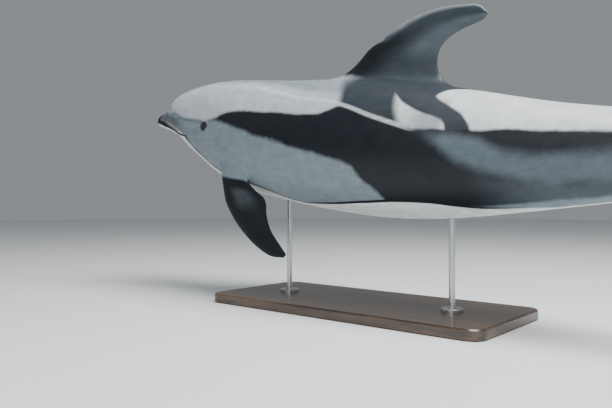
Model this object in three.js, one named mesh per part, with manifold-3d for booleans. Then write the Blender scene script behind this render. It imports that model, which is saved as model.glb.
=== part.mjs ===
// Pacific white-sided dolphin, adult male: a life-size display model on a plain stand.
// Millimetres, +Z up. The beak points towards -X, the animal's left side towards -Y.
// The origin is the centre of the stand's underside.

import * as THREE from 'three';
import { mergeVertices } from 'three/addons/utils/BufferGeometryUtils.js';
import Module from 'manifold-3d';

const wasm = await Module();
wasm.setup();

// ---------------------------------------------------------------- driving dimensions

const LENGTH = 2200; // beak tip to fluke notch, along the body
const GAP = 0.3; // clearance between neighbouring pieces
const DEG = Math.PI / 180;

// Pose: the body is held at ANCHOR, a little nose up, with a slight bend to its left.
const ANCHOR = 924; // distance from the beak tip to the held point
const ANCHOR_HEIGHT = 500; // of the body axis there, above the floor
const ANCHOR_X = -18;
const NOSE_UP = 6.4 * DEG;
const TURN = [-0.33, 0.38]; // sideways bend: linear and quadratic in lengths from the anchor
const ARCH = [-0.265, 0.33]; // upward bend of head and tail stock, likewise

// Lines of the body: [distance from the beak tip, back, belly, half width], from the axis
const LINES = [
  [0, 14, -28, 22],
  [18, 17, -33, 31],
  [44, 25, -35, 43],
  [66, 51, -37, 54],
  [92, 98, -40, 67],
  [143, 134, -51, 87],
  [220, 164, -87, 109],
  [319, 190, -129, 130],
  [418, 201, -169, 151],
  [517, 206, -184, 169],
  [660, 210, -193, 187],
  [847, 216, -200, 194],
  [1012, 213, -201, 186],
  [1199, 191, -189, 165],
  [1364, 161, -165, 136],
  [1540, 128, -134, 103],
  [1716, 105, -103, 70],
  [1892, 80, -72, 44],
  [2046, 52, -46, 28],
  [2134, 26, -23, 22],
  [2200, 8, -8, 12],
];
const BEAK_ROUNDING = 22; // length over which the beak tip closes
const TAIL_ROUNDING = 40; // length over which the tail stock closes
// Level of the widest line, as a fraction of the height from belly to back
const WIDEST_LEVEL = [
  [0, 0.5], [66, 0.42], [220, 0.4], [440, 0.44], [880, 0.47], [1540, 0.52], [2200, 0.5],
];
const KEEL_START = 990; // the section grows from an oval to a keeled one from here
const KEEL_LENGTH = 660;
const KEEL_SHARPNESS = 0.22;
const RING_SIDES = 32;

const CUTS = [0, 425, 810, 1330, 2160]; // ends of head, thorax, midbody and tail stock
const AXIS_STEP = 20; // for adding up the bent axis
const HEAD_STEP = 20; // between the rings of the head
const BODY_STEP = 80;
const BEAK_RINGS = [0.4, 4, 10, 18]; // distances of the first rings, round the beak's tip
const TAIL_RINGS = [24, 10, 3, 0.4]; // distances of the last rings from the tail stock's end

const MOUTH = [[-40, -8], [0, -10], [60, -15], [130, -25], [200, -34], [240, -34]]; // height of the lips
const GAPE = 238; // corner of the mouth
const JAW_RAKE = 70; // the jaw's rear end slopes back by this much
const JAW_DISTANCES = [-40, 0, 30, 60, 95, 130, 165, 200]; // where the lips' line is followed
const JAW_BLOCK = { halfWidth: 200, depth: 260 }; // larger than the jaw cut out of the head by it

const EYE = { distance: 356, height: 16, radius: 15, proud: 3, around: 16, down: 10 };

// Fins: stations from root to tip, each a leading edge and a trailing edge as
// [backward, outward] and a half thickness. The first station lies inside the body.
const DORSAL_FIN = {
  distance: 1034, // its frame's place on the body axis; outward is up
  steps: 15, // from root to tip
  stations: [
    { lead: [-240, 150], trail: [215, 140], half: 28 },
    { lead: [-185, 226], trail: [172, 205], half: 24 },
    { lead: [-145, 262], trail: [146, 238], half: 20 },
    { lead: [-95, 304], trail: [141, 268], half: 16 },
    { lead: [-35, 346], trail: [150, 298], half: 12 },
    { lead: [45, 386], trail: [172, 322], half: 9 },
    { lead: [130, 409], trail: [209, 342], half: 7 },
    { lead: [226, 410], trail: [253, 357], half: 5.5 },
    { lead: [257, 403], trail: [271, 364], half: 4.5 },
    { lead: [275, 387], trail: [280, 374], half: 3 },
  ],
};
const FLIPPER = {
  distance: 506, // its frame's place on the body axis
  across: 136, // from the axis to the root
  above: -132,
  // turned outward from straight down, and swept back: the right one lies out along the flank
  left: { spread: 8 * DEG, sweep: 0 },
  right: { spread: 72 * DEG, sweep: 12 * DEG },
  steps: 14,
  stations: [
    { lead: [-60, -50], trail: [30, -40], half: 20 },
    { lead: [-48, 6], trail: [58, 12], half: 18 },
    { lead: [-29, 36], trail: [112, 32], half: 16 },
    { lead: [-6, 68], trail: [160, 45], half: 14 },
    { lead: [26, 108], trail: [184, 72], half: 12 },
    { lead: [84, 157], trail: [194, 102], half: 9 },
    { lead: [166, 203], trail: [224, 147], half: 6 },
    { lead: [240, 226], trail: [275, 187], half: 4 },
    { lead: [290, 222], trail: [301, 206], half: 2 },
  ],
};
const FLUKE = {
  distance: 2101, // outward is to the side
  steps: 13,
  stations: [
    { lead: [-95, 0], trail: [99, 0], half: 13 },
    { lead: [-88, 20], trail: [112, 24], half: 12.5 },
    { lead: [-62, 55], trail: [124, 60], half: 11 },
    { lead: [-22, 110], trail: [128, 115], half: 9 },
    { lead: [30, 170], trail: [128, 172], half: 7 },
    { lead: [80, 222], trail: [130, 220], half: 5 },
    { lead: [112, 256], trail: [138, 252], half: 3 },
    { lead: [132, 275], trail: [143, 271], half: 1.5 },
  ],
};

const STAND = {
  length: 960, width: 420, thickness: 30, corner: 40, chamfer: 4,
  rodRadius: 9, rods: { front: 640, rear: 1250 },
  flangeRadius: 32, flangeHeight: 10, flangeChamfer: 3, sides: 24,
};

const COLOURS = {
  back: '#3c4650', flank: '#8b969e', belly: '#e6e8e8', fin: '#39424b',
  eye: '#1b1512', base: '#2b2723', steel: '#b9bcc0',
};

// ---------------------------------------------------------------- curves and frames

// Smooth curve through [x, y] rows that never overshoots them.
function smooth(rows) {
  const slopes = rows.slice(1).map(([x, y], i) => (y - rows[i][1]) / (x - rows[i][0]));
  const tangents = rows.map((_, i) => {
    const before = slopes[Math.max(i - 1, 0)];
    const after = slopes[Math.min(i, slopes.length - 1)];
    return before * after > 0 ? (2 * before * after) / (before + after) : 0;
  });
  return (x) => {
    let i = rows.findIndex((row) => row[0] > x) - 1;
    if (i < 0) i = x < rows[0][0] ? 0 : rows.length - 2;
    const [x0, y0] = rows[i];
    const [x1, y1] = rows[i + 1];
    const h = x1 - x0;
    const t = THREE.MathUtils.clamp((x - x0) / h, 0, 1);
    const u = 1 - t;
    return u * u * (1 + 2 * t) * y0 + t * t * (3 - 2 * t) * y1
      + h * t * u * (u * tangents[i] - t * tangents[i + 1]);
  };
}

const column = (index) => smooth(LINES.map((row) => [row[0], row[index]]));
const backLine = column(1);
const bellyLine = column(2);
const halfWidth = column(3);
const widestLevel = smooth(WIDEST_LEVEL);
const mouthLine = smooth(MOUTH);

// Direction of the body axis, towards the tail.
function axisDirection(distance) {
  const u = (distance - ANCHOR) / LENGTH;
  const turn = TURN[0] * u + TURN[1] * u * u;
  const dip = ARCH[0] * u + ARCH[1] * u * u;
  const level = Math.cos(dip);
  return new THREE.Vector3(Math.cos(turn) * level, Math.sin(turn) * level, -Math.sin(dip))
    .applyAxisAngle(new THREE.Vector3(0, 1, 0), NOSE_UP);
}

// Point of the body axis, by adding up short steps from the anchor.
function axisPoint(distance) {
  const point = new THREE.Vector3(ANCHOR_X, 0, ANCHOR_HEIGHT);
  const steps = Math.ceil(Math.abs(distance - ANCHOR) / AXIS_STEP);
  const step = (distance - ANCHOR) / Math.max(steps, 1);
  for (let i = 0; i < steps; i += 1) point.addScaledVector(axisDirection(ANCHOR + (i + 0.5) * step), step);
  return point;
}

// Local frame of the body: tail points back, side to the animal's right, up to its back.
function bodyFrame(distance) {
  const tail = axisDirection(distance);
  const pitched = new THREE.Vector3(Math.sin(NOSE_UP), 0, Math.cos(NOSE_UP));
  const side = new THREE.Vector3().crossVectors(pitched, tail).normalize();
  const up = new THREE.Vector3().crossVectors(tail, side);
  return { origin: axisPoint(distance), tail, side, up };
}

function inFrame(frame, along, across, above) {
  return frame.origin.clone()
    .addScaledVector(frame.tail, along)
    .addScaledVector(frame.side, across)
    .addScaledVector(frame.up, above);
}

// Half width and heights of the body's section, rounded off at both ends.
function sectionSize(distance, grow) {
  const fromTip = THREE.MathUtils.clamp(distance / BEAK_ROUNDING, 0, 1);
  const fromEnd = THREE.MathUtils.clamp((CUTS.at(-1) - distance) / TAIL_ROUNDING, 0, 1);
  const blunt = Math.sqrt(1 - (1 - fromTip) ** 2) * Math.sqrt(1 - (1 - fromEnd) ** 2);
  const back = backLine(distance);
  const belly = bellyLine(distance);
  const middle = belly + (back - belly) * widestLevel(distance);
  return {
    middle,
    above: (back - middle) * blunt + grow,
    below: (middle - belly) * blunt + grow,
    width: halfWidth(distance) * blunt + grow,
  };
}

// Across and above of the body's surface at an angle from the back: + is the right side.
function sectionPoint(distance, angle, grow = 0) {
  const size = sectionSize(distance, grow);
  const keel = THREE.MathUtils.clamp((distance - KEEL_START) / KEEL_LENGTH, 0, 1);
  const c = Math.cos(angle);
  const s = Math.sin(angle);
  const across = size.width * Math.sign(s) * (s * s) ** (0.5 + KEEL_SHARPNESS * keel);
  return [across, size.middle + c * (c > 0 ? size.above : size.below)];
}

function bodyRing(distance, grow = 0) {
  const frame = bodyFrame(distance);
  return Array.from({ length: RING_SIDES }, (_, i) => {
    const [across, above] = sectionPoint(distance, (i / RING_SIDES) * 2 * Math.PI, grow);
    return inFrame(frame, 0, across, above);
  });
}

// ---------------------------------------------------------------- solids

// Closed surface through rings of points, with a flat fan at each end.
function loft(rings) {
  const sides = rings[0].length;
  const points = rings.flat();
  const index = [];
  for (let i = 0; i + 1 < rings.length; i += 1) {
    for (let j = 0; j < sides; j += 1) {
      const a = i * sides + j;
      const b = i * sides + ((j + 1) % sides);
      index.push(a, b, a + sides, b, b + sides, a + sides);
    }
  }
  for (const [ring, base] of [[rings[0], 0], [rings.at(-1), points.length - sides]]) {
    const centre = points.length;
    points.push(ring.reduce((sum, p) => sum.add(p), new THREE.Vector3()).divideScalar(sides));
    for (let j = 0; j < sides; j += 1) {
      const k = (j + 1) % sides;
      index.push(...(base === 0 ? [centre, base + k, base + j] : [centre, base + j, base + k]));
    }
  }
  const geometry = new THREE.BufferGeometry().setFromPoints(points);
  geometry.setIndex(index);
  return outward(geometry);
}

// Turns every face round if the surface encloses a negative volume.
function outward(geometry) {
  const p = geometry.getAttribute('position');
  const faces = geometry.getIndex().array;
  const [a, b, c] = [new THREE.Vector3(), new THREE.Vector3(), new THREE.Vector3()];
  let volume = 0;
  for (let i = 0; i < faces.length; i += 3) {
    a.fromBufferAttribute(p, faces[i]);
    b.fromBufferAttribute(p, faces[i + 1]);
    c.fromBufferAttribute(p, faces[i + 2]);
    volume += a.dot(b.cross(c));
  }
  if (volume < 0) geometry.setIndex(Array.from(faces).reverse());
  return geometry;
}

function toSolid(geometry) {
  const bare = geometry.clone();
  bare.deleteAttribute('normal');
  bare.deleteAttribute('uv');
  const merged = mergeVertices(bare, 1e-4);
  return new wasm.Manifold(new wasm.Mesh({
    numProp: 3,
    vertProperties: new Float32Array(merged.getAttribute('position').array),
    triVerts: new Uint32Array(merged.getIndex().array),
  }));
}

function fromSolid(solid) {
  const { vertProperties, triVerts } = solid.getMesh();
  const geometry = new THREE.BufferGeometry();
  geometry.setAttribute('position', new THREE.BufferAttribute(vertProperties, 3));
  geometry.setIndex(new THREE.BufferAttribute(triVerts, 1));
  return geometry;
}

const group = new THREE.Group();

function addNode(name, geometry, color, roughness = 0.35, metalness = 0) {
  geometry.computeVertexNormals();
  const mesh = new THREE.Mesh(geometry, new THREE.MeshStandardMaterial({ color, roughness, metalness }));
  mesh.name = name;
  group.add(mesh);
}

// ---------------------------------------------------------------- body

// Distances from one cut to the next: close together on the beak, wider behind.
function ringDistances(from, to) {
  const step = to === CUTS[1] ? HEAD_STEP : BODY_STEP;
  const count = Math.round((to - from) / step);
  const even = Array.from({ length: count + 1 }, (_, i) => from + ((to - from) * i) / count);
  if (from === 0) even.splice(0, 2, ...BEAK_RINGS);
  if (to === CUTS.at(-1)) even.splice(-1, 1, ...TAIL_RINGS.map((before) => to - before));
  return even;
}

// The four lengths of the body, each starting a gap behind the one before it.
const lengths = CUTS.slice(1).map((to, i) => ringDistances(CUTS[i] + (i > 0 ? GAP : 0), to));
const [wholeHead, thorax, midbody, tailStock] = lengths
  .map((distances) => loft(distances.map((distance) => bodyRing(distance))));

// The whole body, larger all round by the gap: what meets the body is cut by this.
const grownBody = toSolid(loft(lengths.flat().map((distance) => bodyRing(distance, GAP))));

// Block under the lips: a slab from in front of the beak to the corner of the mouth.
function jawBlock(lower, short) {
  const { halfWidth: width, depth } = JAW_BLOCK;
  const distances = [...JAW_DISTANCES, GAPE - short];
  return toSolid(loft(distances.map((distance, i) => {
    const frame = bodyFrame(distance);
    const rake = (i / (distances.length - 1)) * JAW_RAKE;
    const top = mouthLine(distance) - lower;
    return [
      inFrame(frame, 0, -width, top),
      inFrame(frame, 0, width, top),
      inFrame(frame, rake, width, -depth),
      inFrame(frame, rake, -width, -depth),
    ];
  })));
}

// The eyeball sits in the side of the head, a little proud of it.
function eyeBall(side, grow = 0) {
  const frame = bodyFrame(EYE.distance);
  const size = sectionSize(EYE.distance, 0);
  const rise = EYE.height - size.middle;
  const angle = Math.acos(rise / (rise > 0 ? size.above : size.below));
  const [across, above] = sectionPoint(EYE.distance, side * angle);
  const inset = Math.sign(across) * (EYE.radius - EYE.proud);
  const centre = inFrame(frame, 0, across - inset, above);
  return new THREE.SphereGeometry(EYE.radius + grow, EYE.around, EYE.down)
    .translate(centre.x, centre.y, centre.z);
}

const headSolid = toSolid(wholeHead);
const head = headSolid.subtract(jawBlock(-GAP / 2, -GAP / 2))
  .subtract(toSolid(eyeBall(-1, GAP)))
  .subtract(toSolid(eyeBall(1, GAP)));
addNode('head', fromSolid(head), COLOURS.flank);
addNode('lower_jaw', fromSolid(headSolid.intersect(jawBlock(GAP / 2, GAP / 2))), COLOURS.belly);
addNode('eye_left', eyeBall(-1), COLOURS.eye, 0.1);
addNode('eye_right', eyeBall(1), COLOURS.eye, 0.1);
addNode('thorax', thorax, COLOURS.flank);
addNode('midbody', midbody, COLOURS.back);
addNode('tail_stock', tailStock, COLOURS.flank);

// ---------------------------------------------------------------- fins

const FIN_CHORD_POINTS = 7; // from the leading to the trailing edge, on each face
const FIN_EDGE = 0.6; // half thickness that every section keeps

// Section of a fin as [fraction of the chord, fraction of the thickness], once round.
function finSection() {
  const faces = Array.from({ length: FIN_CHORD_POINTS + 1 }, (_, i) => {
    const x = (1 - Math.cos((i / FIN_CHORD_POINTS) * Math.PI)) / 2;
    const y = 2.969 * Math.sqrt(x) - 1.26 * x - 3.516 * x * x + 2.843 * x ** 3 - 1.036 * x ** 4;
    return [x, Math.max(y, 0)];
  });
  return [...faces, ...faces.slice(1).reverse().map(([x, y]) => [x, -y])];
}

// A fin lofted along stations of [leading edge, trailing edge, half thickness], each edge
// given as [chordwise, spanwise] and each section carried into place by its frame.
function fin(stations, frame, steps) {
  const curve = (pick) => new THREE.CatmullRomCurve3(stations.map(pick), false, 'catmullrom');
  const leading = curve(({ lead }) => new THREE.Vector3(lead[0], lead[1], 0));
  const trailing = curve(({ trail }) => new THREE.Vector3(trail[0], trail[1], 0));
  const thickness = curve(({ half }) => new THREE.Vector3(half, 0, 0));
  const section = finSection();
  const rings = Array.from({ length: steps + 1 }, (_, i) => {
    const front = leading.getPoint(i / steps);
    const rear = trailing.getPoint(i / steps);
    const half = thickness.getPoint(i / steps).x;
    return section.map(([x, y]) => {
      const p = front.clone().lerp(rear, x);
      const z = y < 0 || x === 0 ? Math.min(y * half, -FIN_EDGE) : Math.max(y * half, FIN_EDGE);
      return inFrame(frame, p.x, x === 0 ? 0 : z, p.y);
    });
  });
  return toSolid(loft(rings)).subtract(grownBody);
}

// Each fin has a frame of its own: up is the fin's outward direction, and side its thickness.
const finRoot = bodyFrame(DORSAL_FIN.distance);
addNode('dorsal_fin', fromSolid(fin(DORSAL_FIN.stations, finRoot, DORSAL_FIN.steps)), COLOURS.fin);

for (const [name, sign] of [['left', -1], ['right', 1]]) {
  const shoulder = bodyFrame(FLIPPER.distance);
  const { spread, sweep } = FLIPPER[name];
  const down = shoulder.up.clone().multiplyScalar(-Math.cos(spread))
    .addScaledVector(shoulder.side, sign * Math.sin(spread));
  const across = new THREE.Vector3().crossVectors(down, shoulder.tail);
  const flipperRoot = {
    origin: inFrame(shoulder, 0, sign * FLIPPER.across, FLIPPER.above),
    tail: shoulder.tail.clone().applyAxisAngle(across, sweep),
    side: across,
    up: down.clone().applyAxisAngle(across, sweep),
  };
  addNode(`flipper_${name}`, fromSolid(fin(FLIPPER.stations, flipperRoot, FLIPPER.steps)), COLOURS.fin);

  const stock = bodyFrame(FLUKE.distance);
  const flukeRoot = {
    origin: inFrame(stock, 0, (sign * GAP) / 2, 0),
    tail: stock.tail,
    side: stock.up,
    up: stock.side.clone().multiplyScalar(sign),
  };
  addNode(`fluke_${name}`, fromSolid(fin(FLUKE.stations, flukeRoot, FLUKE.steps)), COLOURS.fin);
}

// ---------------------------------------------------------------- stand

function standBase() {
  const half = [STAND.length / 2 - STAND.chamfer, STAND.width / 2 - STAND.chamfer];
  const r = STAND.corner;
  const outline = new THREE.Shape();
  outline.moveTo(half[0], -half[1] + r);
  outline.absarc(half[0] - r, half[1] - r, r, 0, Math.PI / 2);
  outline.absarc(-half[0] + r, half[1] - r, r, Math.PI / 2, Math.PI);
  outline.absarc(-half[0] + r, -half[1] + r, r, Math.PI, 1.5 * Math.PI);
  outline.absarc(half[0] - r, -half[1] + r, r, 1.5 * Math.PI, 2 * Math.PI);
  const geometry = new THREE.ExtrudeGeometry(outline, {
    depth: STAND.thickness - 2 * STAND.chamfer,
    bevelThickness: STAND.chamfer, bevelSize: STAND.chamfer, bevelSegments: 1, curveSegments: 6,
  });
  return fromSolid(toSolid(geometry.translate(0, 0, STAND.chamfer)));
}

for (const [place, distance] of Object.entries(STAND.rods)) {
  const { x, y, z } = axisPoint(distance);
  const foot = STAND.thickness + GAP;
  const bore = STAND.rodRadius + GAP;
  const top = STAND.flangeHeight;
  const flange = new THREE.LatheGeometry([
    [bore, 0], [STAND.flangeRadius, 0], [STAND.flangeRadius, top - STAND.flangeChamfer],
    [STAND.flangeRadius - STAND.flangeChamfer, top], [bore, top], [bore, 0],
  ].map(([radius, height]) => new THREE.Vector2(radius, height)), STAND.sides)
    .rotateX(Math.PI / 2).translate(x, y, foot);
  const rod = new THREE.CylinderGeometry(STAND.rodRadius, STAND.rodRadius, z - foot, STAND.sides)
    .rotateX(Math.PI / 2).translate(x, y, (z + foot) / 2);
  addNode(`stand_rod_${place}`, fromSolid(toSolid(rod).subtract(grownBody)), COLOURS.steel, 0.3, 1);
  addNode(`stand_flange_${place}`, outward(fromSolid(toSolid(flange))), COLOURS.steel, 0.3, 1);
}
addNode('stand_base', standBase(), COLOURS.base, 0.4);

export default group;
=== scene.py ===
"""A life-size Pacific white-sided dolphin on a display stand: its skin, eyes, stand and studio.

Metres, +Z up. The beak points towards -X, the animal's left side towards -Y. The body's lines
are given in millimetres, as distances from the beak tip and heights above the body's axis.
"""

import math

import bmesh
import bpy
import numpy as np
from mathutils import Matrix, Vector


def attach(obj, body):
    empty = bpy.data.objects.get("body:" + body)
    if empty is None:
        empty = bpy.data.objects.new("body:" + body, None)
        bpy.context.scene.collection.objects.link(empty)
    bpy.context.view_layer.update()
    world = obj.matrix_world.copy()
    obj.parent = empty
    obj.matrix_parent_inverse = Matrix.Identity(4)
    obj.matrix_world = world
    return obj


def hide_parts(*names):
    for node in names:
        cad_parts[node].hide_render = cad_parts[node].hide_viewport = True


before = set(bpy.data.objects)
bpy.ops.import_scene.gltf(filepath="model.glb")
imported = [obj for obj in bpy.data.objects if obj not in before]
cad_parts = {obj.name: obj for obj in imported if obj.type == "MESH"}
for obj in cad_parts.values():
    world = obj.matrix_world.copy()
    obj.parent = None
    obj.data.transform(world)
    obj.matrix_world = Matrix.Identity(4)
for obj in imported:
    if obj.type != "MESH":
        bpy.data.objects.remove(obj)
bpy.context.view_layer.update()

MM = 0.001
DEG = math.pi / 180

# ---- the body's lines and pose

LENGTH = 2200  # from the beak tip to the notch between the flukes
ANCHOR = 924  # distance of the axis's point over the stand
ANCHOR_POINT = (-18, 0, 500)
NOSE_UP = 6.4 * DEG
# Factors of u and u squared, with u as the distance behind the anchor in lengths: how far the
# axis turns sideways, and how far it dips
TURN = (-0.33, 0.38)
ARCH = (-0.265, 0.33)

# distance from the beak tip, back, belly, half width
LINES = [
    (0, 14, -28, 22), (18, 17, -33, 31), (44, 25, -35, 43), (66, 51, -37, 54),
    (92, 98, -40, 67), (143, 134, -51, 87), (220, 164, -87, 109), (319, 190, -129, 130),
    (418, 201, -169, 151), (517, 206, -184, 169), (660, 210, -193, 187), (847, 216, -200, 194),
    (1012, 213, -201, 186), (1199, 191, -189, 165), (1364, 161, -165, 136), (1540, 128, -134, 103),
    (1716, 105, -103, 70), (1892, 80, -72, 44), (2046, 52, -46, 28), (2134, 26, -23, 22),
    (2200, 8, -8, 12),
]
# The lines' bends are blurred a little on the face and at the tail's end, and more between
LITTLE_BLUR, MORE_BLUR = 6, 44
BLUR_GROWS, BLUR_SHRINKS = (90, 420), (1950, 2100)
BEAK_ROUNDING = 22  # length over which the beak's tip rounds off
TAIL_END = 2204
TAIL_ROUNDING = 20
# distance, and where the body is widest, as a share of the way from belly to back
WIDEST_LEVEL = [
    (0, 0.43), (66, 0.42), (220, 0.40), (440, 0.44), (880, 0.47), (1540, 0.52), (2200, 0.5),
]
KEEL_START = 990
KEEL_LENGTH = 660
KEEL_SHARPNESS = 0.22
# distance, height of the line between the lips
MOUTH = [(-40, -8), (0, -10), (60, -15), (130, -25), (200, -34), (240, -34)]
GAPE = 238  # corner of the mouth

EYE_DISTANCE = 356
EYE_HEIGHT = 16
EYE_RADIUS = 15
EYE_PROUD = 3  # how far the eyeball stands out of the body's surface
EYE_OPENING = (12.5, 6.8, 5.4)  # half length, height of the upper lid and of the lower lid
EYE_SLANT = 8 * DEG  # its front corner lies lower than the rear one
SOCKET_GAP = 0.4  # between the eyeball and its socket
EYEBALL_GRID = (40, 64)  # rings, sides
DEEP = -5.0  # distance from the lids' edge that stands for the inside of the socket

BLOWHOLE = (310, 17, 4.5)  # distance of its middle, half width, how far its horns reach forward

# Lines on the face as (distance, degrees from the middle of the back)
CREASE = [(56, 0), (64, 30), (84, 60), (113, 82), (173, 89), (215, 92), (234, 104)]
BRIDLE = [(180, 89), (260, 84), (336, 81)]  # faint line from the crease to the eye
# Faint folds on the neck and throat, with their depth
NECK_FOLDS = [
    ([(246, 112), (262, 128), (270, 150)], 1.0),
    ([(300, 100), (318, 124), (322, 150)], 0.8),
    ([(398, 104), (412, 128), (410, 152)], 0.9),
]

# ---- the skin's grid

HALF_COLUMNS = 84  # from the back to the belly, on each side
MOUTH_COLUMN = 54  # the column that follows the lips
COLUMNS = 2 * HALF_COLUMNS
CROWDING = 0.72  # how closely the columns crowd along the lips
TIP_ROWS = 24
END_ROWS = 7
FILLET_ROWS = 11
FIN_TIP_ROWS = 6
LID_ROWS = 14
SOCKET_ROWS = 8
RELAXING = 90  # rounds of smoothing on the fillets
RELAX_STEP = 0.6
ROOT_BLEND = 75  # the smoothing fades out on the blade over this length
LOOSE_ROWS = 4  # rows of the body that it reaches, each by this share of the one before
LOOSE_SHARE = 0.85
# distance, gap to the next row: closest on the face and across the blowhole
ROW_GAPS = [
    (22, 2.4), (240, 2.8), (286, 2.8), (294, 1.3), (322, 1.3), (330, 2.8), (430, 3.4),
    (700, 8.4), (1900, 9.4), (2000, 5.6), (2200, 5.0),
]

# Fins: leading edge and trailing edge as (backward, outward), and half thickness
DORSAL_STATIONS = [
    ((-240, 150), (215, 140), 28), ((-185, 226), (172, 205), 24), ((-145, 262), (146, 238), 20),
    ((-95, 304), (141, 268), 16), ((-35, 346), (150, 298), 12), ((45, 386), (172, 322), 9),
    ((130, 409), (209, 342), 7), ((226, 410), (253, 357), 5.5), ((257, 403), (271, 364), 4.5),
    ((275, 387), (280, 374), 3),
]
# A healed nick in the back fin's leading edge: place along it, width, depth
DORSAL_EDGE = [(0.33, 0.05, -4), (0.412, 0.022, 6), (0.52, 0.08, -3)]
NICK_DIRECTION = (0.65, -0.75)  # backward, outward
FLIPPER_STATIONS = [
    ((-60, -50), (30, -40), 20), ((-48, 6), (58, 12), 18), ((-29, 36), (112, 32), 16),
    ((-6, 68), (160, 45), 14), ((26, 108), (184, 72), 12), ((84, 157), (194, 102), 9),
    ((166, 203), (224, 147), 6), ((240, 226), (275, 187), 4), ((290, 222), (301, 206), 2),
]
FLUKE_STATIONS = [
    ((-95, 0), (99, 0), 13), ((-88, 20), (112, 24), 12.5), ((-62, 55), (124, 60), 11),
    ((-22, 110), (128, 115), 9), ((30, 170), (128, 172), 7), ((80, 222), (130, 220), 5),
    ((112, 256), (138, 252), 3), ((132, 275), (143, 271), 1.5),
]
# Factors of the chord's powers 1/2, 1, 2, 3 and 4 in a streamlined section of half thickness 1
STREAMLINED = (2.969, -1.26, -3.516, 2.843, -1.036)
NOSE_SHARE, HEEL_SHARE = 0.03, 0.02  # of each chord, with the vertices crowded round the edges
# Each fin's stations, the share of them that its fillet takes up, and its blade's rows
FINS = {
    "dorsal": (DORSAL_STATIONS, 0.18, 44),
    "flipper": (FLIPPER_STATIONS, 0.22, 28),
    "fluke": (FLUKE_STATIONS, 0.30, 24),
}
# Distances of the points of the axis that the fins' stations are measured from
DORSAL_DISTANCE = 1034
FLIPPER_DISTANCE = 506
FLUKE_DISTANCE = 2101
FLIPPER_ROOT = (136, -132)  # out from the axis, above it
# For the right flipper and the left one: turned outward from straight down, swept back
FLIPPER_POSES = {1: (72 * DEG, 12 * DEG), -1: (8 * DEG, 0.0)}
AWAY = -200  # stands for no distance from a fin

# Holes in the grid: distances, and degrees from the middle of the back
FLIPPER_HOLE = ((450, 592), (119, 139))
FLUKE_HOLE = ((1996, 2192), (58, 122))
DORSAL_HOLE = (806, 1234)
DORSAL_COLUMNS = (-5, 5)
EYE_HOLE = (30, 13)  # half its length in millimetres, half its height in degrees


def ease(x, low, high):
    """0 up to low, 1 from high, smooth between."""
    t = np.clip((x - low) / (high - low), 0, 1)
    return t * t * (3 - 2 * t)


def bump(x, centre, width):
    """A smooth hill of height 1."""
    return np.exp(-(((x - centre) / width) ** 2))


def unit(vectors):
    """The vectors at length 1. One of length 0, as at the skin's two end points, has no direction."""
    return vectors / np.linalg.norm(vectors, axis=-1, keepdims=True)


def smooth(rows):
    """The curve through (x, y) rows that never overshoots them."""
    xs, ys = np.array(rows, float)[:, :2].T
    slopes = np.diff(ys) / np.diff(xs)
    before = np.concatenate([slopes[:1], slopes])
    after = np.concatenate([slopes, slopes[-1:]])
    turns = before * after > 0
    tangents = np.where(turns, 2 * before * after / np.where(turns, before + after, 1), 0)

    def curve(x):
        x = np.asarray(x, float)
        i = np.clip(np.searchsorted(xs, x, side="right") - 1, 0, len(xs) - 2)
        h = xs[i + 1] - xs[i]
        t = np.clip((x - xs[i]) / h, 0, 1)
        u = 1 - t
        ends = u * u * (1 + 2 * t) * ys[i] + t * t * (3 - 2 * t) * ys[i + 1]
        return ends + h * t * u * (u * tangents[i] - t * tangents[i + 1])

    return curve


def softened(column):
    """One of the body's lines, blurred."""
    curve = smooth([(row[0], row[column]) for row in LINES])
    x = np.arange(-200, 2401, 2.0)
    y = curve(x)

    def blurred(width):
        reach = np.arange(-3 * width, 3 * width + 1, 2.0)
        weights = np.exp(-((reach / width) ** 2) / 2)
        padded = np.pad(y, len(reach) // 2, mode="edge")
        return np.convolve(padded, weights / weights.sum(), mode="valid")

    more = ease(x, *BLUR_GROWS) * (1 - ease(x, *BLUR_SHRINKS))
    y = blurred(LITTLE_BLUR) * (1 - more) + blurred(MORE_BLUR) * more
    return lambda d: np.interp(d, x, y)


back_line, belly_line, half_width = (softened(column) for column in (1, 2, 3))
widest_level = smooth(WIDEST_LEVEL)
mouth_line = smooth(MOUTH)

AXIS = np.arange(-80, 2301, 4.0)


def axis_directions(distance):
    """Tailward directions of the axis."""
    u = (distance - ANCHOR) / LENGTH
    turn, dip = (first * u + second * u * u for first, second in (TURN, ARCH))
    x, y, z = np.cos(turn) * np.cos(dip), np.sin(turn) * np.cos(dip), -np.sin(dip)
    c, s = math.cos(NOSE_UP), math.sin(NOSE_UP)
    return np.stack([c * x + s * z, y, c * z - s * x], -1)


def axis_points():
    """The axis, added up from short straight pieces."""
    middles = axis_directions((AXIS[1:] + AXIS[:-1]) / 2) * np.diff(AXIS)[:, None]
    points = np.concatenate([np.zeros((1, 3)), np.cumsum(middles, 0)])
    anchor = np.array([np.interp(ANCHOR, AXIS, points[:, k]) for k in range(3)])
    return points - anchor + np.array(ANCHOR_POINT, float)


AXIS_POINTS = axis_points()


def body_frame(distance):
    """Origin, tailward, sideways (to the right) and upward directions at some distances."""
    distance = np.asarray(distance, float)
    origin = np.stack([np.interp(distance, AXIS, AXIS_POINTS[:, k]) for k in range(3)], -1)
    tail = axis_directions(distance)
    side = unit(np.cross([math.sin(NOSE_UP), 0, math.cos(NOSE_UP)], tail))
    return origin, tail, side, np.cross(tail, side)


def section_size(distance):
    """Widest level, and the section's size above, below and to the side of it."""
    blunt = np.sqrt(1 - (1 - np.clip(distance / BEAK_ROUNDING, 0, 1)) ** 2)
    blunt = blunt * np.sqrt(1 - (1 - np.clip((TAIL_END - distance) / TAIL_ROUNDING, 0, 1)) ** 2)
    back, belly = back_line(distance), belly_line(distance)
    middle = belly + (back - belly) * widest_level(distance)
    return middle, (back - middle) * blunt, (middle - belly) * blunt, half_width(distance) * blunt


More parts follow.
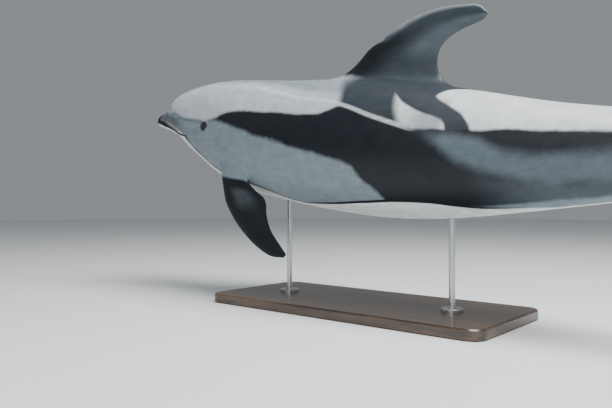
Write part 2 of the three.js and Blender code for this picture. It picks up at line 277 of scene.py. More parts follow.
def section(distance, angle):
    """Across and above of the skin, at an angle from the back towards the right side."""
    middle, above, below, width = section_size(distance)
    keel = np.clip((distance - KEEL_START) / KEEL_LENGTH, 0, 1)
    c, s = np.cos(angle), np.sin(angle)
    across = width * np.sign(s) * np.abs(s) ** (1 + 2 * KEEL_SHARPNESS * keel)
    return across, middle + c * np.where(c > 0, above, below)


def body_surface(distance, angle):
    """Points of the smooth body, without folds and fins."""
    origin, _, side, up = body_frame(distance)
    across, above = section(distance, angle)
    return origin + side * across[..., None] + up * above[..., None]


def surface_angle(distance, height):
    """Angle of the right side's skin at a height above the axis."""
    middle, above, below, _ = section_size(distance)
    rise = height - middle
    return math.acos(rise / (above if rise > 0 else below))


def surface_normal(distance, angle):
    """Outward directions of the smooth body: forward at the very tip, none at the tail's end."""
    step, turn = 0.5, 0.005
    along = body_surface(distance + step, angle) - body_surface(distance - step, angle)
    around = body_surface(distance, angle + turn) - body_surface(distance, angle - turn)
    normal = unit(np.cross(around, along))
    origin, tail, _, _ = body_frame(distance)
    outward = body_surface(distance, angle) - origin
    normal *= np.sign((normal * outward).sum(-1, keepdims=True))
    side = ease(distance, 0.5, 7)[..., None]
    return unit(normal * side - tail * (1 - side))


def mouth_angle(distance):
    """Angle of the lips, easing to that of the mouth's column behind the corner."""
    middle, _, below, _ = section_size(np.minimum(distance, GAPE))
    lips = np.arccos(np.clip((mouth_line(distance) - middle) / np.maximum(below, 1), -0.95, 0.2))
    rest = math.pi * MOUTH_COLUMN / HALF_COLUMNS
    lips = lips + (math.pi / 2 - lips) * (1 - ease(distance, 0, 30))
    behind = ease(distance, GAPE - 20, 480)
    return lips * (1 - behind) + rest * behind


def column_angles(distance):
    """Angles of the columns: crowded along the lips on the face, even behind it."""
    lips = mouth_angle(distance)[:, None]
    crowd = CROWDING * (1 - ease(distance, GAPE, 460))[:, None]
    t = np.arange(MOUTH_COLUMN + 1) / MOUTH_COLUMN
    upper = lips * ((1 + crowd) * t - crowd * t * t)
    t = np.arange(1, HALF_COLUMNS - MOUTH_COLUMN + 1) / (HALF_COLUMNS - MOUTH_COLUMN)
    lower = lips + (math.pi - lips) * ((1 - crowd) * t + crowd * t * t)
    right = np.concatenate([upper, lower], 1)
    left = 2 * math.pi - right[:, 1:-1][:, ::-1]
    return np.concatenate([right, left], 1)


def row_distances():
    """Distances of the grid's rows, from the beak tip to the tail's end."""
    tip = BEAK_ROUNDING * (1 - np.cos(np.arange(1, TIP_ROWS) * math.pi / 2 / TIP_ROWS))
    gap = smooth(ROW_GAPS)
    rows = [float(BEAK_ROUNDING)]
    while rows[-1] < TAIL_END - TAIL_ROUNDING:
        rows.append(rows[-1] + float(gap(rows[-1])))
    left = TAIL_END - rows[-1]
    end = TAIL_END - left * (1 - np.sin(np.arange(1, END_ROWS) * math.pi / 2 / END_ROWS))
    return np.concatenate([tip, rows, end])


# ---- the skin's mesh

class Skin:
    """Vertices and quads, with each vertex's place on the body and on a fin."""

    # with the values away from the fins and the eyes
    FIELDS = {"station": 0, "angle": 0, "on_body": 0, "chord": 0, "eye": 100, **dict.fromkeys(FINS, AWAY)}

    def __init__(self):
        self.points = []
        self.faces = []
        self.fields = {name: [] for name in self.FIELDS}
        self.count = 0

    def add(self, points, **fields):
        """Adds vertices and returns their numbers, in the shape given."""
        shape = points.shape[:-1]
        self.points.append(points.reshape(-1, 3))
        for name, default in self.FIELDS.items():
            values = np.broadcast_to(fields.get(name, default), shape)
            self.fields[name].append(np.asarray(values, float).ravel())
        numbers = self.count + np.arange(int(np.prod(shape))).reshape(shape)
        self.count += numbers.size
        return numbers

    def ring(self, last, points, **fields):
        """Adds a closed loop of vertices, joined to the last one by quads."""
        numbers = self.add(points, **fields)
        self.faces.append(np.stack([last, np.roll(last, -1), np.roll(numbers, -1), numbers], -1))
        return numbers

    def close(self, loop, pole):
        """Triangles from a closed loop to one vertex."""
        self.faces.append(np.stack([loop, np.roll(loop, -1), np.full(len(loop), pole)], -1))

    def field(self, name):
        return np.concatenate(self.fields[name])


def loop_numbers(grid, rows, columns):
    """Boundary of a patch of the grid, from the middle of its front edge round the + side."""
    r0, r1 = rows
    c0, c1 = columns
    middle = (c0 + c1) // 2
    path = [(r0, c) for c in range(middle, c1)] + [(r, c1) for r in range(r0, r1)]
    path += [(r1, c) for c in range(c1, c0, -1)] + [(r, c0) for r in range(r1, r0, -1)]
    path += [(r0, c) for c in range(c0, middle)]
    inner = [(min(max(r, r0 + 1), r1 - 1), min(max(c, c0 + 1), c1 - 1)) for r, c in path]
    wrap = grid.shape[1]
    outer = np.array([grid[r, c % wrap] for r, c in path])
    return outer, np.array([grid[r, c % wrap] for r, c in inner]), middle - c0, r1 - r0


def spline(points, t):
    """The curve through evenly timed points, t from 0 to 1."""
    points = np.asarray(points, float)
    ends = np.concatenate([[2 * points[0] - points[1]], points, [2 * points[-1] - points[-2]]])
    x = np.asarray(t, float) * (len(points) - 1)
    i = np.clip(x.astype(int), 0, len(points) - 2)
    f = (x - i)[..., None] if points.ndim > 1 else x - i
    a, b, c, d = ends[i], ends[i + 1], ends[i + 2], ends[i + 3]
    return b + 0.5 * f * (c - a + f * (2 * a - 5 * b + 4 * c - d + f * (3 * (b - c) + d - a)))


def section_chords(corner, side):
    """Chord fractions down one face: crowded round both edges, even between them."""
    nose = NOSE_SHARE * (np.arange(corner) / corner) ** 2
    middle = NOSE_SHARE + (1 - NOSE_SHARE - HEEL_SHARE) * np.arange(side + 1) / side
    heel = 1 - HEEL_SHARE * (1 - np.arange(1, corner + 1) / corner) ** 1.5
    return np.concatenate([nose, middle, heel])


def fin_section(stations, t, chords, place, nicks=()):
    """One closed section of a fin, from the leading edge round the + face, and its chords."""
    lead = spline([s[0] for s in stations], t)
    for where, width, depth in nicks:
        lead = lead + np.array(NICK_DIRECTION) * depth * bump(t, where, width)
    trail = spline([s[1] for s in stations], t)
    half = spline([s[2] for s in stations], t)
    x = np.concatenate([chords, chords[-2:0:-1]])
    face = np.concatenate([np.ones(len(chords)), -np.ones(len(chords) - 2)])
    shape = sum(factor * x**power for factor, power in zip(STREAMLINED, (0.5, 1, 2, 3, 4)))
    edge = 0.6 * np.sqrt(np.clip(x / 0.01, 0, 1) * np.clip((1 - x) / 0.004, 0, 1))
    flat = lead + (trail - lead) * x[:, None]
    thick = face * np.maximum(shape * half, edge)
    thick = np.where(x >= 1, 0, thick)
    origin, tail, side, up = place
    return origin + tail * flat[:, :1] + side * thick[:, None] + up * flat[:, 1:], x


def hermite(start, leave, end, arrive, t):
    """Points at t on the curves that leave some points and arrive at others."""
    onward = 3 * t**2 - 2 * t**3
    return start * (1 - onward) + leave * (t**3 - 2 * t**2 + t) + end * onward + arrive * (t**3 - t**2)


def zip_shut(skin, ring, edge):
    """Joins the two faces of a fin's last ring; edge is the number of its rear corner."""
    upper = ring[:edge + 1]
    lower = np.concatenate([ring[:1], ring[:edge - 1:-1]])
    skin.faces.append(np.array([[upper[0], upper[1], lower[1]], [upper[-2], upper[-1], lower[-2]]]))
    skin.faces.append(np.stack([upper[1:-2], upper[2:-1], lower[2:-1], lower[1:-2]], -1))


def attach_fin(skin, grid, hole, name, place, nicks=()):
    """Grows a fin out of a hole in the grid: a smooth fillet, its blade and a round tip."""
    outer, inner, corner, side = loop_numbers(grid, *hole)
    chords = section_chords(corner, side)
    stations, start, spans = FINS[name]
    points = np.concatenate(skin.points)
    base = points[outer]
    if (base[corner + side // 2] - base[-corner - side // 2]) @ place[2] < 0:
        place = (place[0], place[1], -place[2], place[3])
    first, x = fin_section(stations, start, chords, place)
    second, _ = fin_section(stations, start + 0.01, chords, place)
    fields = {"station": skin.field("station")[outer], "angle": skin.field("angle")[outer], "chord": x}
    gap = np.linalg.norm(first - base, axis=1, keepdims=True)
    leave, arrive = unit(points[inner] - base) * 0.6 * gap, unit(second - first) * 0.8 * gap
    ring = outer
    for k in range(1, FILLET_ROWS):
        t = k / FILLET_ROWS
        fields[name] = -(1 - t) * gap[:, 0]
        ring = skin.ring(ring, hermite(base, leave, first, arrive, t), **fields)
    fields[name], last = 0, first
    for t in start + (1 - start) * np.sin(np.arange(spans + 1) / spans * math.pi / 2):
        where, _ = fin_section(stations, t, chords, place, nicks)
        fields[name] = fields[name] + np.linalg.norm(where - last, axis=1)
        ring = skin.ring(ring, where, **fields)
        last = where

    # a round tip: the last section shrinks to its middle while it moves outward
    before, _ = fin_section(stations, 0.98, chords, place)
    outward = unit((last - before).mean(0))
    centre = last.mean(0)
    edge = len(chords) - 1
    bulge = 0.3 * np.linalg.norm(last[0] - last[edge])
    for turn in np.arange(1, FIN_TIP_ROWS) / FIN_TIP_ROWS * math.pi / 2:
        where = centre + (last - centre) * math.cos(turn) + outward * bulge * math.sin(turn)
        ring = skin.ring(ring, where, **fields)
    zip_shut(skin, ring, edge)


def flipper_place(sign):
    """Origin and backward, sideways and outward directions of a flipper."""
    origin, tail, side, up = body_frame(FLIPPER_DISTANCE)
    spread, sweep = FLIPPER_POSES[sign]
    out, above = FLIPPER_ROOT
    down = -up * math.cos(spread) + side * sign * math.sin(spread)
    root = origin + side * sign * out + up * above
    back = tail * math.cos(sweep) - down * math.sin(sweep)
    return root, back, np.cross(down, tail), down * math.cos(sweep) + tail * math.sin(sweep)


def fluke_place(sign):
    origin, tail, side, up = body_frame(FLUKE_DISTANCE)
    return origin, tail, up, side * sign


def eye_spot(sign):
    """Distance and angle of an eye on the body."""
    angle = surface_angle(EYE_DISTANCE, EYE_HEIGHT)
    return np.array(float(EYE_DISTANCE)), np.array(angle if sign > 0 else 2 * math.pi - angle)


def eye_place(sign):
    """Place on the surface, eyeball's centre, and outward, tailward and upward directions."""
    spot = eye_spot(sign)
    surface, out = body_surface(*spot), surface_normal(*spot)
    tail = body_frame(spot[0])[1]
    tail = unit(tail - out * (tail @ out))
    up = np.cross(tail, out) * sign
    c, s = math.cos(EYE_SLANT), math.sin(EYE_SLANT)
    return surface, surface - out * (EYE_RADIUS - EYE_PROUD), out, tail * c + up * s, up * c - tail * s


def lid_opening(u, v):
    """Distance from the middle of the eye to its lids' edge, in the direction of (u, v)."""
    size = np.hypot(u, v)
    c, s = u / size, v / size
    length, upper, lower = EYE_OPENING
    half = np.where(s > 0, upper, lower)
    return 2 * half / (np.abs(s) + np.sqrt(s * s + (2 * half * c / length) ** 2))


def attach_eye(skin, grid, hole, sign):
    """Lids round the eye, and behind them a socket that the eyeball fills."""
    outer, _, _, _ = loop_numbers(grid, *hole)
    points = np.concatenate(skin.points)[outer]
    station, angle = skin.field("station")[outer], skin.field("angle")[outer]
    surface, centre, out, tail, up = eye_place(sign)
    spot = eye_spot(sign)
    u, v = (points - surface) @ tail, (points - surface) @ up
    opening, size = lid_opening(u, v), np.hypot(u, v)
    direction = tail * (u / size)[:, None] + up * (v / size)[:, None]
    socket = EYE_RADIUS + SOCKET_GAP

    def ball(reach):
        return np.sqrt(np.maximum(socket**2 - reach**2, 0)) - (EYE_RADIUS - EYE_PROUD)

    rim = np.maximum(ball(opening) + 1.3, -1.0)
    ring = outer
    for reach in (size + (opening - size) * t for t in np.arange(1, LID_ROWS + 1) / LID_ROWS):
        # along the body's surface, from the hole's edge towards the middle
        share, beyond = reach / size, reach - opening
        where = spot[0] + (station - spot[0]) * share, spot[1] + (angle - spot[1]) * share
        level = rim * bump(beyond, 0, 7) + 1.2 * bump(beyond, 9, 4)
        # a crease along each lid, deeper along the upper one
        level -= np.where(v > 0, 0.9, 0.6) * bump(beyond, 5.0, 1.5) * ease(np.abs(v) / size, 0.1, 0.5)
        lift = level * (1 - ease(share, 0.75, 1))
        ring = skin.ring(ring, body_surface(*where) + surface_normal(*where) * lift[:, None],
                         station=where[0], angle=where[1], eye=beyond)

    # over the lids' edge, then round the back of the socket: places and their "eye" values
    inner = [(opening - 0.5, rim - 0.15), (opening - 0.9, rim - 0.6), (opening - 1.1, rim - 1.0),
             (opening - 1.2, np.minimum(rim - 1.2, ball(opening - 1.2)))]
    behind = [(surface + direction * reach[:, None] + out * level[:, None], reach - opening)
              for reach, level in inner]
    first = np.arcsin(np.clip((opening - 1.0) / socket, 0, 1))
    for t in np.arange(SOCKET_ROWS) / (SOCKET_ROWS - 1):
        turn = (first + (170 * DEG - first) * t)[:, None]
        behind.append((centre + socket * (direction * np.sin(turn) + out * np.cos(turn)), DEEP))
    for where, beyond in behind:
        ring = skin.ring(ring, where, station=station, angle=angle, eye=beyond)
    pole = skin.add((centre - out * socket)[None], station=spot[0], angle=spot[1], eye=DEEP)
    skin.close(ring, pole[0])


def patch_faces(grid, holes):
    """Quads of the grid, without those in the holes."""
    rows, columns = grid.shape
    keep = np.ones((rows - 1, columns), bool)
    for (r0, r1), (c0, c1) in holes:
        for c in range(c0, c1):
            keep[r0:r1, c % columns] = False
    right = np.roll(grid, -1, axis=1)
    quads = np.stack([grid[:-1], right[:-1], right[1:], grid[1:]], -1)
    return quads[keep]


def nearest(values, target):
    """Number of the value nearest to a target."""
    return int(np.argmin(np.abs(values - target)))


def find_holes(distance, angles):
    """The fins' and eyes' holes as (rows, columns): the back fin's, and pairs of right and left."""
    def pair(ends, degrees):
        rows = tuple(nearest(distance, end) for end in ends)
        angle = angles[sum(rows) // 2]
        low, high = (nearest(angle, degree * DEG) for degree in degrees)
        high += (high - low) % 2
        return (rows, (low, high)), (rows, (COLUMNS - high, COLUMNS - low))

    half_length, half_height = EYE_HOLE
    eye = surface_angle(EYE_DISTANCE, EYE_HEIGHT) / DEG
    return {
        "dorsal": (tuple(nearest(distance, end) for end in DORSAL_HOLE), DORSAL_COLUMNS),
        "flipper": pair(*FLIPPER_HOLE),
        "fluke": pair(*FLUKE_HOLE),
        "eye": pair((EYE_DISTANCE - half_length, EYE_DISTANCE + half_length),
                    (eye - half_height, eye + half_height)),
    }


def build_skin():
    """The body with its fins, lids and eye sockets, before its folds."""
    skin = Skin()
    distance = row_distances()
    angles = column_angles(distance)
    stations = np.repeat(distance[:, None], COLUMNS, 1)
    grid = skin.add(body_surface(stations, angles), station=stations, angle=angles, on_body=1)
    holes = find_holes(distance, angles)
    pairs = [hole for name in ("flipper", "fluke", "eye") for hole in holes[name]]
    skin.faces.append(patch_faces(grid, [holes["dorsal"], *pairs]))
    for row, end in ((grid[0], 0.0), (grid[-1], float(TAIL_END))):
        pole = skin.add(body_surface(np.array([end]), np.array([0.0])), station=end, on_body=1)
        skin.close(row, pole[0])

    attach_fin(skin, grid, holes["dorsal"], "dorsal", body_frame(DORSAL_DISTANCE), DORSAL_EDGE)
    for name, place in (("flipper", flipper_place), ("fluke", fluke_place)):
        for hole, sign in zip(holes[name], (1, -1)):
            attach_fin(skin, grid, hole, name, place(sign))
    for hole, sign in zip(holes["eye"], (1, -1)):
        attach_eye(skin, grid, hole, sign)
    return skin


# ---- folds

def line_distance(x, y, line):
    """Distance from points to a line of (x, y) corners."""
    nearest_so_far = np.full(np.shape(x), np.inf)
    for (x0, y0), (x1, y1) in zip(line, line[1:]):
        dx, dy = x1 - x0, y1 - y0
        t = np.clip(((x - x0) * dx + (y - y0) * dy) / (dx * dx + dy * dy), 0, 1)
        nearest_so_far = np.minimum(nearest_so_far, np.hypot(x - x0 - t * dx, y - y0 - t * dy))
    return nearest_so_far


def girth_radius(distance):
    """Radius of a circle about as long as the body's section."""
    _, above, below, width = section_size(distance)
    return (above + below) / 4 + width / 2


def lip_distance(station, around):
    """Distance to the lips' line, which ends at the corner of the mouth."""
    stops = np.linspace(0, GAPE, 16)
    return line_distance(station, around, list(zip(stops, mouth_angle(stops) * girth_radius(stops))))


def unrolled(line):
    """Corners of (distance, degrees) as millimetres along and around the body."""
    return [(d, g * DEG * float(girth_radius(float(d)))) for d, g in line]


def blowhole_distance(station, across):
    """Millimetres behind the blowhole's crescent, whose horns point forward."""
    distance, half_width_there, horns = BLOWHOLE
    return station - distance + horns * (across / half_width_there) ** 2


def mouth_folds(station, from_lips):
    """A slit between rounded lips, and a dimple at the corner of the mouth."""
    closing = 1 - ease(station, GAPE - 18, GAPE)
    lips = 1.3 * bump(from_lips, 4.2, 2.6) + 0.9 * bump(from_lips, -4.0, 2.4)
    corner = np.hypot(station - GAPE - 2, from_lips)
    lift = closing * (lips - 5.5 * bump(from_lips, 0, 1.15))
    return lift - 1.6 * bump(corner, 0, 5) + 1.2 * bump(corner, 11, 5) * (station > GAPE - 20)


def crease_folds(station, around):
    """The crease between the beak and the forehead, shallower towards the mouth."""
    crease = line_distance(station, around, unrolled(CREASE))
    fading = 1 - 0.7 * ease(station, 90, 190) - 0.3 * ease(station, 190, 236)
    return fading * (0.8 * bump(crease, 13, 7) - 4.2 * bump(crease, 0, 5.0))


def blowhole_folds(station, across):
    """A crescent slit with raised lips, in a shallow dip."""
    hole = blowhole_distance(station, across)
    width = 1 - ease(np.abs(across), BLOWHOLE[1] - 5, BLOWHOLE[1] + 2)
    lift = width * (1.0 * bump(hole, -6, 4) + 0.6 * bump(hole, 6, 4) - 5.5 * bump(hole, 0, 2.4))
    return lift - 1.6 * bump(np.hypot(station - BLOWHOLE[0], across), 0, 26)


def folds(station, angle):
    """Height of the skin's folds above the smooth body."""
    girth = np.minimum(angle, 2 * math.pi - angle)
    around = girth * girth_radius(station)
    across, above = section(station, angle)
    lift = mouth_folds(station, above - mouth_line(station)) + crease_folds(station, around)
    lift += blowhole_folds(station, across) * (girth < 1)
    for line, depth in NECK_FOLDS:
        lift -= depth * bump(line_distance(station, around, unrolled(line)), 0, 5)
    return lift


# ---- markings

# Edges of the markings, and of painted light and shade, as (distance, degrees from the middle of the
# back)
STRIPE = [
    (0, 60), (150, 45), (317, 33), (506, 32), (653, 40), (788, 49), (872, 50.5), (941, 54), (998, 58),
    (1067, 64), (1124, 68), (1175, 71.5), (1214, 74), (2200, 74),
]
STRIPE_WIDTH = [(0, 20), (317, 14), (653, 8), (872, 5), (2200, 5)]  # half of it, in millimetres
# Lower edge of the back's colours, drawn along the line between light and painted shade on the side: the
# dark band below it is partly the dark flank, partly painted shade
TOP_BOTTOM = [
    (0, 84), (330, 80.5), (356, 79), (410, 74), (458, 68), (536, 64), (650, 64), (734, 64), (821, 65),
    (885, 65), (925, 61), (960, 57), (998, 58), (1067, 64), (1124, 67.5), (1175, 71), (1235, 73.5),
    (1304, 73), (1370, 72), (1469, 68), (1577, 66), (1682, 64), (1900, 60), (2200, 58),
]
PATCH_TOP = [
    (0, 74), (1214, 74), (1304, 76), (1370, 79), (1427, 87), (1475, 92), (1529, 94), (1565, 94),
    (1622, 91), (1688, 88), (1900, 84), (2200, 80),
]
PATCH_BOTTOM = [
    (0, 74), (1214, 75), (1253, 82), (1298, 91), (1340, 99), (1388, 107), (1445, 114), (1514, 119),
    (1577, 123), (1640, 124), (1688, 124), (1900, 118), (2200, 110),
]
CHEST_TOP = [
    (0, 104), (150, 97), (230, 92), (300, 86), (356, 81), (425, 76.5), (524, 80), (620, 84), (719, 88),
    (851, 94), (965, 100), (1031, 106), (1061, 116), (1100, 127), (1118, 137), (1140, 150), (2200, 150),
]
BELLY_LINE = [
    (0, 104), (60, 106), (134, 112), (190, 114), (218, 116), (240, 119.5), (268, 127.5), (317, 133),
    (380, 137), (440, 139), (512, 140), (578, 141), (626, 144), (689, 149), (740, 155), (782, 157),
    (863, 152), (953, 146), (1034, 141), (1163, 137), (1250, 139), (1325, 146), (1373, 151),
    (1421, 155), (1493, 160), (1559, 168), (2200, 176),
]
# Edges across the body as (degrees, distance)
CAPE_FRONT = [(0, 868), (16, 884), (39, 932), (51, 950), (90, 1000)]
CAPE_REAR = [(0, 1150), (28, 1145), (40, 1128), (56, 1145), (72, 1175), (90, 1190)]
# The back fin's cast shadow, painted as a dark band down the back behind the fin: its front and rear
# edges
FIN_SHADOW_FRONT = [
    (0, 1085), (36, 1108), (46, 1142), (55, 1193), (60, 1244), (62.5, 1274), (68, 1295), (90, 1320),
]
FIN_SHADOW_REAR = [
    (0, 1340), (8, 1312), (16, 1280), (25, 1254), (37, 1241), (42, 1256), (49, 1298), (54, 1325),
    (60, 1346), (68, 1364), (90, 1385),
]
# Slits in the middle of the belly: the navel and two behind it
SLITS = [(884, 892), (1270, 1360), (1440, 1452)]


def edge_distance(station, girth, edge):
    """Millimetres towards the belly from an edge that runs along the body."""
    curve = smooth(edge)
    slope = (curve(station + 4) - curve(station - 4)) * DEG / 8
    radius = girth_radius(station)
    return (girth - curve(station) * DEG) * radius / np.hypot(1, slope * radius)


def cross_distance(station, girth, edge):
    """Millimetres towards the tail from an edge that runs across the body."""
    curve = smooth(edge)
    degrees = girth / DEG
    slope = (curve(degrees + 1) - curve(degrees - 1)) / 2 / DEG / girth_radius(station)
    return (station - curve(degrees)) / np.hypot(1, slope)


def markings(skin):
    """Distances in millimetres from the edges of the markings and of painted light and shade, positive
    inside an area, and from lines.
    """
    station, angle = skin.field("station"), skin.field("angle")
    girth = np.minimum(angle, 2 * math.pi - angle)
    radius = girth_radius(station)
    around = girth * radius
    across, above = section(station, angle)

    def below(edge):
        return edge_distance(station, girth, edge)

    def behind(edge):
        return cross_distance(station, girth, edge)

    def line(corners):
        return line_distance(station, around, unrolled(corners))

    stripe = below(STRIPE)
    crease_distance, crease_degrees = np.array(CREASE, float).T
    on_beak = station < np.interp(girth / DEG, crease_degrees, crease_distance)
    return {
        "top": -below(TOP_BOTTOM),
        "cape": np.minimum(behind(CAPE_FRONT), -behind(CAPE_REAR)),
        "fin_shadow": np.minimum(behind(FIN_SHADOW_FRONT), -behind(FIN_SHADOW_REAR)),
        "above_stripe": -stripe,
        "stripe": smooth(STRIPE_WIDTH)(station) - np.abs(stripe),
        "patch": np.minimum(below(PATCH_TOP), -below(PATCH_BOTTOM)),
        "low": below(PATCH_BOTTOM),
        "chest": below(CHEST_TOP),
        "belly": below(BELLY_LINE),
        "lips": lip_distance(station, around),
        "from_lips": above - mouth_line(station),
        "bridle": line(BRIDLE),
        "beak": line(CREASE) * np.where(on_beak, 1, -1),
        "blowhole": blowhole_distance(station, across),
        "from_back": around,
        "from_belly": (math.pi - girth) * radius,
    }


# ---- meshes

def add_object(name, data):
    obj = bpy.data.objects.new(name, data)
    bpy.context.scene.collection.objects.link(obj)
    return obj


def mesh_object(name, points, faces, values):
    """A smooth closed mesh, which keeps the values of its vertices under their names."""
    mesh = bpy.data.meshes.new(name)
    mesh.from_pydata((points * MM).tolist(), [], [face.tolist() for block in faces for face in block])
    for field, numbers in values.items():
        attribute = mesh.attributes.new(field, "FLOAT", "POINT")
        attribute.data.foreach_set("value", np.asarray(numbers, np.float32))
    close_and_orient(mesh)
    mesh.shade_smooth()
    return add_object(name, mesh)


def close_and_orient(mesh):
    """Drops the vertices under the fins and eyes, and turns every face outward."""
    bm = bmesh.new()
    bm.from_mesh(mesh)
    bmesh.ops.delete(bm, geom=[v for v in bm.verts if not v.link_faces], context="VERTS")
    bmesh.ops.recalc_face_normals(bm, faces=bm.faces)
    bm.to_mesh(mesh)
    bm.free()


def relaxed(skin):
    """The skin's points, with the fillets round the fins' roots smoothed into the body."""
    points = np.concatenate(skin.points)
    reach = np.max([skin.field(fin) for fin in FINS], axis=0)
    sides = [block[:, [k, (k + 1) % block.shape[1]]]
             for block in skin.faces for k in range(block.shape[1])]
    ends = np.concatenate(sides).T
    neighbours = np.maximum(np.bincount(ends.ravel(), minlength=len(points)), 1)

    def spread(values):
        """Mean of each vertex's neighbours."""
        total = sum(np.bincount(one, values[other], len(points)) for one, other in (ends, ends[::-1]))
        return total / neighbours

    on_body = reach == AWAY
    loose = np.where(on_body, 0, 1 - ease(reach, 0, ROOT_BLEND))
    for _ in range(LOOSE_ROWS):
        loose = np.where(on_body, np.maximum(loose, LOOSE_SHARE * spread(loose)), loose)
    for _ in range(RELAXING):
        middle = np.stack([spread(column) for column in points.T], 1)
        points = points + RELAX_STEP * loose[:, None] * (middle - points)
    return points


def make_body():
    skin = build_skin()
    points = relaxed(skin)
    on_body = skin.field("on_body") > 0
    where = skin.field("station")[on_body], skin.field("angle")[on_body]
    points[on_body] += surface_normal(*where) * folds(*where)[:, None]
    places = {name: skin.field(name) for name in ("station", "dorsal", "flipper", "chord", "eye")}
    return mesh_object("dolphin_skin", points, skin.faces, {**markings(skin), **places})


def make_eyeball(name, sign):
    """A ball whose pole faces out of the head, with a slightly raised cornea."""
    rings, sides = EYEBALL_GRID
    _, centre, out, tail, up = eye_place(sign)
    turn = np.linspace(0, math.pi, rings + 1)[1:-1, None]
    around = np.linspace(0, 2 * math.pi, sides, endpoint=False)
    radius = EYE_RADIUS + 0.25 * bump(turn, 0, 0.35)
    wide = radius * np.sin(turn)
    ball = wide * np.cos(around), wide * np.sin(around), radius * np.cos(turn) * np.ones(sides)
    poles = np.array([[0, 0, radius[0, 0]], [0, 0, -EYE_RADIUS]])
    points = np.concatenate([np.stack(ball, -1).reshape(-1, 3), poles])
    index = np.arange((rings - 1) * sides).reshape(rings - 1, sides)
    right = np.roll(index, -1, 1)
    quads = np.stack([index[:-1], index[1:], right[1:], right[:-1]], -1).reshape(-1, 4)
    top = np.stack([index[0], right[0], np.full(sides, len(points) - 2)], -1)
    bottom = np.stack([right[-1], index[-1], np.full(sides, len(points) - 1)], -1)
    x, y, z = points.T
    values = {
        "from_axis": np.where(z > 0, np.hypot(x, y), 2 * EYE_RADIUS),
        "pupil": np.where(z > 0, np.hypot(x * 0.55, y), 2 * EYE_RADIUS),
    }
    world = centre + points @ np.stack([tail, up * sign, out])
    return mesh_object(name, world, [quads, top, bottom], values)


# ---- materials

class Nodes:
    """Short names for the nodes of one material."""

    def __init__(self, name):
        self.material = bpy.data.materials.new(name)
        self.material.use_nodes = True
        self.tree = self.material.node_tree
        self.shader = self.tree.nodes["Principled BSDF"]
        self.place = self.add("ShaderNodeTexCoord").outputs["Object"]

    def add(self, kind, inputs=None, **settings):
        """A node with some settings, and with inputs given by name or number."""
        node = self.tree.nodes.new(kind)
        for name, value in settings.items():
            setattr(node, name, value)
        for name, value in (inputs or {}).items():
            self.feed(node.inputs[name], value)
        return node

    def feed(self, socket, value):
        if hasattr(value, "is_linked"):
            self.tree.links.new(value, socket)
        else:
            socket.default_value = value

    def set(self, name, value):
        """One of the shader's inputs."""
        self.feed(self.shader.inputs[name], value)

    def math(self, operation, *values):
        return self.add("ShaderNodeMath", dict(enumerate(values)), operation=operation).outputs[0]

    def times(self, one, other, *more):
        result = self.math("MULTIPLY", one, other)
        return self.times(result, *more) if more else result

    def attribute(self, name):
        return self.add("ShaderNodeAttribute", attribute_name=name).outputs["Fac"]

    def noise(self, scale, detail=3.0, place=None, roughness=0.5):
        inputs = {"Vector": place or self.place, "Scale": scale, "Detail": detail, "Roughness": roughness}
        return self.add("ShaderNodeTexNoise", inputs).outputs["Fac"]

    def stretched(self, scale):
        """Places whose noise is drawn out along the axes of small scale."""
        return self.add("ShaderNodeMapping", {"Vector": self.place, "Scale": scale}).outputs[0]

    def ramp(self, value, low, high, to_low=0.0, to_high=1.0):
        """Goes from one number to another while the value, or attribute, goes from low to high."""
        value = self.attribute(value) if isinstance(value, str) else value
        inputs = dict(enumerate((value, low, high, to_low, to_high)))
        return self.add("ShaderNodeMapRange", inputs, interpolation_type="SMOOTHSTEP").outputs[0]

    def mix(self, factor, one, other, blend="MIX"):
        node = self.add("ShaderNodeMix", {"Factor": factor}, data_type="RGBA", blend_type=blend)
        colours = [socket for socket in node.inputs if socket.type == "RGBA"]
        for socket, value in zip(colours, (one, other)):
            self.feed(socket, (*value, 1) if isinstance(value, tuple) else value)
        return next(socket for socket in node.outputs if socket.type == "RGBA")

    def bump(self, height, distance, strength=1.0, normal=None):
        inputs = {"Height": height, "Distance": distance, "Strength": strength}
        if normal is not None:
            inputs["Normal"] = normal
        return self.add("ShaderNodeBump", inputs).outputs[0]


# The skin's edges wander: scale of the noise, millimetres
WANDER = (14, 26)
RIPPLE = (60, 8)
# Colours of the skin
DARK = (0.006, 0.009, 0.012)
# The next colour is the lips' black, also used to paint shade in the blowhole's slit
LIPS_AND_SLIT_SHADE = (0.006, 0.007, 0.009)
BAND = (0.007, 0.010, 0.014)
BEAK = (0.085, 0.100, 0.112)
# The next colour is the cape's dark grey, also used to paint the back fin's cast shadow
CAPE_AND_FIN_SHADOW = (0.026, 0.034, 0.042)
MID = (0.085, 0.105, 0.120)
# The next colour is the flank patch's pale grey, painted dim as in shade
SHADED_PATCH = (0.100, 0.130, 0.150)
FIN = (0.036, 0.048, 0.058)
FIN_REAR = (0.085, 0.108, 0.124)
# The next colour is the crown's grey, also used to paint a highlight along the back fin's upper leading
# edge
CROWN_AND_FIN_HIGHLIGHT = (0.225, 0.262, 0.282)
FLANK = (0.190, 0.240, 0.270)
NAPE = (0.400, 0.440, 0.460)
PALE = (0.560, 0.600, 0.615)
WHITE = (0.760, 0.790, 0.790)
# The next colour is painted shade in the belly's slits
SLIT_SHADE = (0.100, 0.090, 0.090)
# The others
IRIS = ((0.012, 0.007, 0.005), (0.040, 0.023, 0.014))
IRIS_EDGE = (0.010, 0.007, 0.006)
PUPIL = (0.002, 0.002, 0.003)
EYE_WHITE = ((0.30, 0.25, 0.22), (0.17, 0.10, 0.085))
WOOD = ((0.030, 0.018, 0.011), (0.105, 0.062, 0.036))
WOOD_PORES = (0.012, 0.008, 0.005)
STEEL = ((0.50, 0.51, 0.52), (0.66, 0.67, 0.68))


